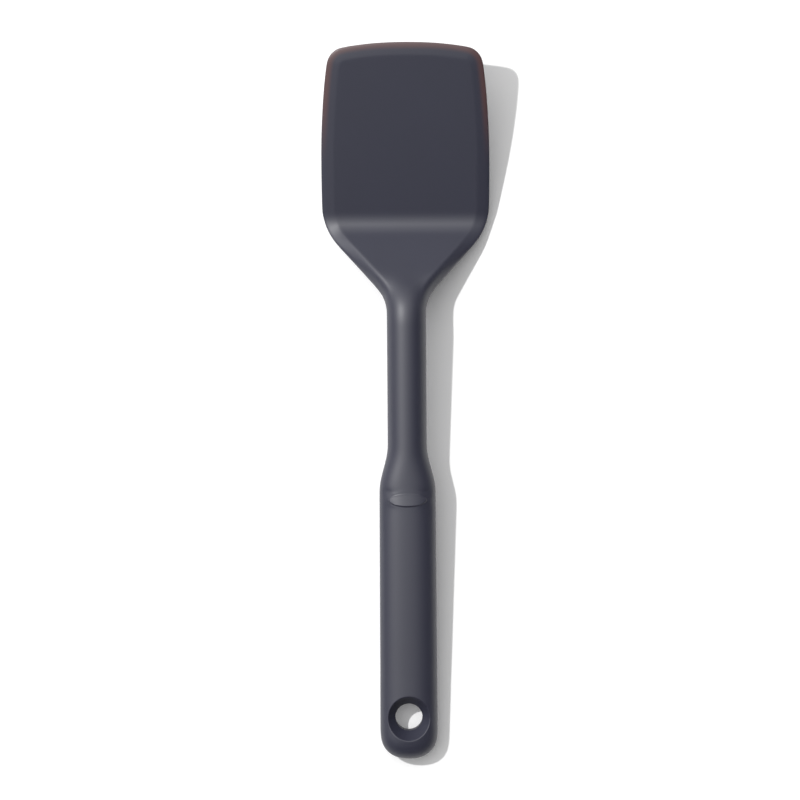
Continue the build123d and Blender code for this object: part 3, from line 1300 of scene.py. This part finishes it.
@dataclass(frozen=True)
class GlassFilledNylon:
    """Black nylon moulded with short glass fibres, which give it a dull, slightly mottled skin."""

    body: str = "24252a"
    fibre: str = "34363b"
    roughness: float = 0.55
    fibre_mm: float = 0.5
    fibre_height_mm: float = 0.01

    def material(self) -> bpy.types.Material:
        """Builds the material, with the fibres as small pale flecks.

        Returns:
            The material.
        """
        made, shader, where = start_material("glass_filled_nylon")
        tree = made.node_tree
        scale = MM_PER_METRE / self.fibre_mm
        flecks = add_node(tree, "ShaderNodeTexVoronoi", {"Vector": where, "Scale": scale})
        colour = add_node(
            tree,
            "ShaderNodeMix",
            {"Factor": flecks.outputs["Distance"], "A": linear(self.body), "B": linear(self.fibre)},
            data_type="RGBA",
        )
        bump = add_node(
            tree,
            "ShaderNodeBump",
            {"Height": flecks.outputs["Distance"], "Distance": self.fibre_height_mm * MM, "Strength": 1.0},
        )
        looks = {
            "Base Color": colour.outputs["Result"],
            "Roughness": self.roughness,
            "Normal": bump.outputs["Normal"],
        }
        feed(tree, shader, looks)
        return made


class Core:
    """The stiff parts sealed inside the skin, which keep their own shapes and get their finishes."""

    # Rolled spring steel: bright, with short fine lines along the sheet
    rolled = Metal(
        name="rolled_stainless",
        colour="c4c5c7",
        stain="b3b4b7",
        roughness=0.32,
        mark_mm=0.3,
        mark_length_mm=18.0,
        mark_height_mm=0.004,
    )
    # Drawn wire and rod: a little greyer and duller, with longer lines from the die
    drawn = Metal(
        name="drawn_stainless",
        colour="bcbdc0",
        stain="a6a7aa",
        roughness=0.38,
        mark_mm=0.2,
        mark_length_mm=25.0,
        mark_height_mm=0.006,
    )
    # Zinc plate on the screws: pale and satin, with a fine round spangle
    zinc = Metal(
        name="zinc_plate",
        colour="c9ccd0",
        stain="b4b9bd",
        roughness=0.42,
        mark_mm=0.8,
        mark_length_mm=0.8,
        mark_height_mm=0.004,
    )

    def dress(self) -> list[bpy.types.Object]:
        """Gives each part of the core its finish.

        Returns:
            The parts.
        """
        rolled, drawn, zinc = (finish.material() for finish in (self.rolled, self.drawn, self.zinc))
        nylon = GlassFilledNylon().material()
        finishes = {
            "blade_plate": rolled,
            "core_rod": drawn,
            "plate_rivets": drawn,
            "rod_cross_pin": drawn,
            "handle_core_upper": nylon,
            "handle_core_lower": nylon,
            "core_screws": zinc,
        }
        nodes = [frame["nodes"][name] for name in finishes]
        for node, finish in zip(nodes, finishes.values()):
            if not node.data.materials:
                node.data.materials.append(finish)
            for slot in node.material_slots:
                slot.material = finish
        return nodes


@dataclass(frozen=True)
class Studio:
    """White sweep, a small strong lamp at the upper left, soft fill from that side, and a camera above."""

    floor_size: float = 6.0
    floor_colour: str = "fcfcfc"
    floor_lift: float = 0.07
    key_spot: Spot = (-0.681, 0.391, 1.294)
    key_power: float = 15.0
    key_width: float = 0.04
    fill_side: Spot = (-0.32, 0.42, 0.9)
    fill_reach: tuple[float, float] = (0.43, 0.94)
    fill_levels: tuple[float, float] = (0.0, 1.36)
    horizon_band: tuple[float, float] = (0.02, 0.06)
    camera_spot: Spot = (-0.0032, 0.0016, 1.4954)
    camera_roll: float = -0.378
    lens: float = 144.0
    sensor: float = 36.0

    def floor(self) -> None:
        """Lays the white floor that the turner rests on, which looks a little lighter than it is lit."""
        bpy.ops.object.select_all(action="DESELECT")
        bpy.ops.mesh.primitive_plane_add(size=self.floor_size)
        floor = bpy.context.active_object
        floor.name = "floor"
        made = bpy.data.materials.new("white_sweep")
        made.use_nodes = True
        tree = made.node_tree
        tree.nodes.clear()
        # White paper scatters light evenly, and has no gloss that would mirror the turner
        paths = add_node(tree, "ShaderNodeLightPath").outputs
        seen = paths["Is Camera Ray"]
        for other in (paths["Is Glossy Ray"], paths["Is Transmission Ray"]):
            seen = add_node(tree, "ShaderNodeMath", {0: seen, 1: other}, operation="MAXIMUM").outputs[0]
        lift = add_node(tree, "ShaderNodeMath", {0: seen, 1: self.floor_lift}, operation="MULTIPLY")
        paper = add_node(tree, "ShaderNodeBsdfDiffuse", {"Color": linear(self.floor_colour)})
        glow = add_node(tree, "ShaderNodeEmission", {"Strength": lift.outputs[0]})
        both = add_node(tree, "ShaderNodeAddShader", {0: paper.outputs[0], 1: glow.outputs[0]})
        add_node(tree, "ShaderNodeOutputMaterial", {"Surface": both.outputs[0]})
        floor.data.materials.append(made)

    def lights(self) -> None:
        """Hangs the lamp and sets the world, with soft fill from the lamp's side and a white backdrop."""
        lamp = bpy.data.lights.new("key_lamp", "AREA")
        lamp.shape = "DISK"
        lamp.size = self.key_width
        lamp.energy = self.key_power
        key = bpy.data.objects.new("key_lamp", lamp)
        key.location = self.key_spot
        key.rotation_mode = "QUATERNION"
        key.rotation_quaternion = Vector(self.key_spot).to_track_quat("Z", "Y")
        bpy.context.scene.collection.objects.link(key)
        world = bpy.data.worlds.new("studio")
        world.use_nodes = True
        tree = world.node_tree
        tree.nodes.clear()
        paths = add_node(tree, "ShaderNodeLightPath").outputs
        way = add_node(tree, "ShaderNodeTexCoord").outputs["Generated"]
        height = add_node(tree, "ShaderNodeSeparateXYZ", {"Vector": way})
        backdrop = add_node(
            tree,
            "ShaderNodeMapRange",
            {
                "Value": height.outputs["Z"],
                "From Min": self.horizon_band[1],
                "From Max": self.horizon_band[0],
                "To Min": 0.0,
                "To Max": 1.0,
            },
        )
        side = Vector(self.fill_side).normalized()
        facing = add_node(tree, "ShaderNodeVectorMath", {0: way, 1: side}, operation="DOT_PRODUCT")
        fill = add_node(
            tree,
            "ShaderNodeMapRange",
            {
                "Value": facing.outputs["Value"],
                "From Min": self.fill_reach[0],
                "From Max": self.fill_reach[1],
                "To Min": self.fill_levels[0],
                "To Max": self.fill_levels[1],
            },
            interpolation_type="SMOOTHSTEP",
        )
        # Mirrored and bent rays see the white backdrop near the horizon, and the camera sees white everywhere
        white = paths["Is Glossy Ray"]
        for other, operation in (
            (paths["Is Transmission Ray"], "MAXIMUM"),
            (backdrop.outputs["Result"], "MULTIPLY"),
            (paths["Is Camera Ray"], "MAXIMUM"),
        ):
            white = add_node(tree, "ShaderNodeMath", {0: white, 1: other}, operation=operation).outputs[0]
        level = add_node(
            tree,
            "ShaderNodeMapRange",
            {"Value": white, "To Min": fill.outputs["Result"], "To Max": 1.0},
        )
        glow = add_node(
            tree,
            "ShaderNodeBackground",
            {"Color": linear("ffffff"), "Strength": level.outputs["Result"]},
        )
        add_node(tree, "ShaderNodeOutputWorld", {"Surface": glow.outputs[0]})
        bpy.context.scene.world = world

    def camera(self) -> None:
        """Sets the camera above the turner, square to the floor."""
        made = bpy.data.cameras.new("above")
        made.lens = self.lens
        made.sensor_width = self.sensor
        camera = bpy.data.objects.new("above", made)
        camera.location = self.camera_spot
        camera.rotation_euler = (0.0, 0.0, math.radians(self.camera_roll))
        bpy.context.scene.collection.objects.link(camera)
        bpy.context.scene.camera = camera
        bpy.context.scene.view_settings.view_transform = "Standard"

    def build(self) -> None:
        """Sets up the floor, the lights and the camera."""
        self.camera()
        self.floor()
        self.lights()


def main() -> None:
    """Builds the studio, dresses the core and builds the skin, and reports each piece."""
    logging.basicConfig(level=logging.INFO, format="%(name)s: %(message)s")
    Studio().build()
    pieces = Core().dress()
    pieces.append(Skin(CentreLine(), Handle(), Blade(), Hole(), Pad()).build())
    for piece in pieces:
        finish = piece.material_slots[0].material
        log.info("%s: %d faces, %s", piece.name, len(piece.data.polygons), finish.name)


if __name__ == "__main__":
    main()
